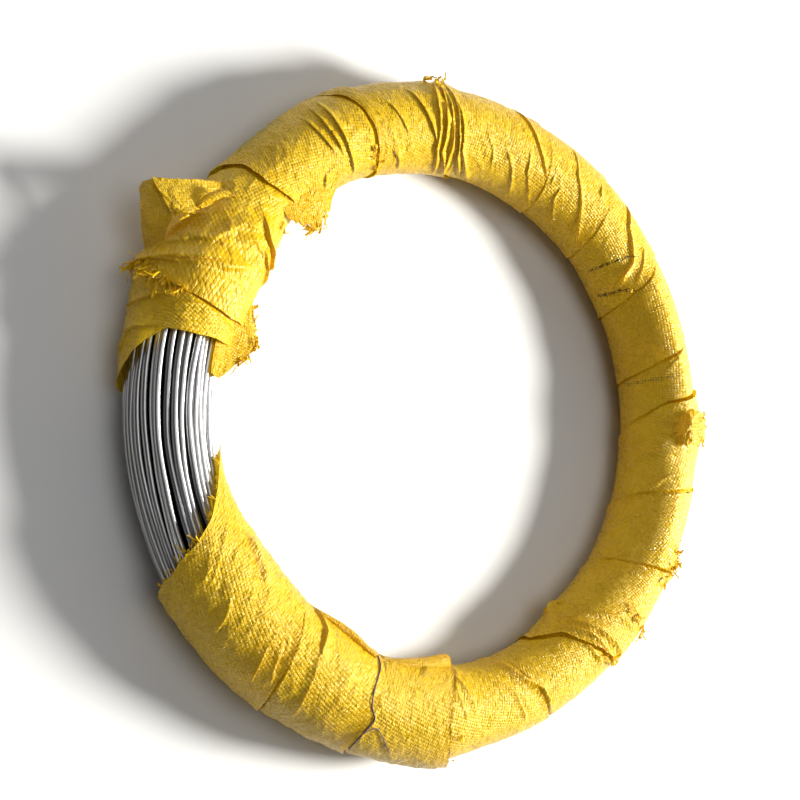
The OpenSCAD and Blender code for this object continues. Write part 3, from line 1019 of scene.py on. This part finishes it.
def woven_strip(name, seed):
    """One strip wound round the bundle; returns its ring and bundle angles, distances and what shows."""
    first, _, turns, level, _ = STRIPS[name]
    wide = width_of(name)
    wide_mm = math.radians(wide) * RING
    rows = int(turns * TURN / ALONG[name]) + 1
    cols = int(wide_mm / ACROSS) + 1
    t, w = np.meshgrid(np.linspace(0, turns, rows), np.linspace(0, 1, cols), indexing="ij")
    helix = 270 - 360 * t
    v = bundle_angle(helix)
    u = first + wide * (1 - LAP) * (t - 0.5) + wide * w
    length = t * TURN
    across = w * wide_mm
    # Where it lies round the ring
    u, under = free_edges(name, t, w, v, u)
    rim = np.minimum(w, 1 - w) * wide_mm
    wander = 2.2 * noise(length / 23, across / 200, seed + 5) + 0.8 * noise(length / 6, across / 90, seed + 6)
    u = u + np.degrees(wander / RING) * np.exp(-rim / 9)
    # Which part lies under the next turn or another strip
    rise, shown, free = laps(name, t, w, under)
    for other, which in COVERED_BY.get(name, []):
        past = turned(u - edge_at(other, which, helix)) * DEGREE * RING
        shown = shown * smooth((past if which == "last" else -past) / EDGE + 0.1)
    # How far it stands from the bundle's middle
    base = section(u, v) - 0.4 + LAYER * level + LAYER * rise
    amp = by_angle(CRUMPLE, u)
    for lump_u, lump_v, half_u, half_v, h, more in LUMPS.get(name, []):
        lump = np.exp(-((turned(u - lump_u) / half_u) ** 2) - (turned(v - lump_v) / half_v) ** 2)
        base = base + h * lump
        amp = amp + more * lump
    crumple = crumpled(name, amp, length, across, seed)
    folds, lean, painted_glow, painted_shade = fold_field(u, v)
    flare = np.clip(noise(length / 17, across * 0 + 4.2, seed + 51) + 0.25, 0, 1)
    lip = LIP[name] * (0.6 + 1.6 * flare) * np.exp(-free / EDGE)
    rho = base + shown * (crumple + folds + lip) - 0.6 * (1 - shown)
    u = u + np.degrees(shown * lean / RING)
    p = on_floor(tube(u, v, rho), 0.25 * level + 0.3 * rise + 0.02)
    # The masks carry a painted glow in fold slits and painted shade at the feet of folds
    masks = {
        "ravel": ravelled(u, v) * shown,
        "painted_glow": painted_glow * shown,
        "painted_shade": painted_shade * shown,
        "green": np.exp(-(((u % 360 - GREEN_AT) / GREEN_ALONG) ** 2) - (v / GREEN_ROUND) ** 2),
        "crease": np.clip(0.15 + 0.65 * by_angle(CRUMPLE, u), 0, CRINKLE_MOST[name]) * shown,
    }
    grids = [(p, weave_uv(name, t, across), masks)] + LOOSE.get(name, [])
    for grid, _, _ in grids[1:]:
        on_floor(grid, 0.5)
    obj = cloth_mesh(f"strip_{name}", grids)
    obj.data.materials.append(WOVEN)
    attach(obj, "root")
    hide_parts(f"wrap_strip_{name}")
    return u, v, rho, shown


def surface_at(surface, u, v):
    """Distance of a strip's shown surface from the bundle's middle at a ring angle and a bundle angle."""
    strip_u, strip_v, rho, shown = surface
    away = np.hypot((strip_u - u) * DEGREE * RING, (strip_v - v) * DEGREE * 38)
    near = (away < 2.2) & (shown > 0.5)
    return rho[near].max() if near.any() else float(section(u, v)) + 3.0


wire_turns()
surfaces = {}
for number, strip_name in enumerate(STRIPS):
    surfaces[strip_name] = woven_strip(strip_name, 100 + 37 * number)

# The thread on the slack strip, with its loose end
paths = []
for line in (THREAD, TAIL):
    points = [tube(u, v, surface_at(surfaces["a"], u, v) + 0.5) for u, v in line]
    paths.append(spline(np.array(points), 60))
thread = tubes("thread", paths, [0.0006, 0.0004], 8)
thread.data.materials.append(plain_material("thread", (0.02, 0.012, 0.03), (0.09, 0.05, 0.11), 900.0, 0.6))
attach(thread, "root")
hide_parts("binding_thread")

# Floor, light and camera
bpy.ops.mesh.primitive_plane_add(size=12, location=(0, 0, -0.0002))
floor = bpy.context.object
floor.name = "floor"
floor.data.materials.append(plain_material("pale_floor", (0.70, 0.70, 0.70), (0.74, 0.74, 0.74), 3.0, 0.8))

world = bpy.data.worlds.new("studio")
bpy.context.scene.world = world
world.use_nodes = True
sky = Nodes(world)
background = world.node_tree.nodes["Background"]
side = sky.split(sky.add("ShaderNodeTexCoord").outputs["Generated"])[0]
lit = sky.math("MULTIPLY_ADD", side, 0.5, 0.35)
sky.join(sky.mix(lit, (0.30, 0.29, 0.28), (1.0, 1.0, 1.0)), background.inputs[0])
background.inputs[1].default_value = 0.27


def area_light(name, place, aim, size, watts, colour=(1, 1, 1)):
    """A round soft light that points at a place."""
    data = bpy.data.lights.new(name, "AREA")
    data.shape = "DISK"
    data.size = size
    data.energy = watts
    data.color = colour
    obj = add_object(name, data)
    obj.location = place
    obj.rotation_mode = "QUATERNION"
    obj.rotation_quaternion = (Vector(aim) - Vector(place)).to_track_quat("-Z", "Y")


area_light("key", (2.4, -0.35, 1.55), (0, 0, 0.03), 0.8, 240, (1.0, 0.985, 0.93))
area_light("top", (-0.2, 0.2, 2.6), (0, 0, 0), 1.6, 14)
area_light("back", (-0.3, 2.2, 0.8), (0, 0, 0), 1.6, 12)

# The camera fitted to the photo: focal length and picture width in pixels, and its place in ring radii
FOCAL, PICTURE = 1265.5, 800
CAMERA_AT = Vector((-2.42023, -0.21765, 3.62632))
right, up = Vector((0.84987, 0, 0.52699)), Vector((-0.03330, 0.99800, 0.05371))
cam = bpy.data.cameras.new("camera")
cam.sensor_width = 36
cam.lens = FOCAL / PICTURE * 36
camera = add_object("camera", cam)
place = CAMERA_AT * RING / 1000 + Vector((0, 0, MID / 1000))
axes = Matrix((right, up, right.cross(up))).transposed().to_4x4()
camera.matrix_world = Matrix.Translation(place) @ axes
bpy.context.scene.camera = camera
bpy.context.scene.view_settings.view_transform = "Standard"
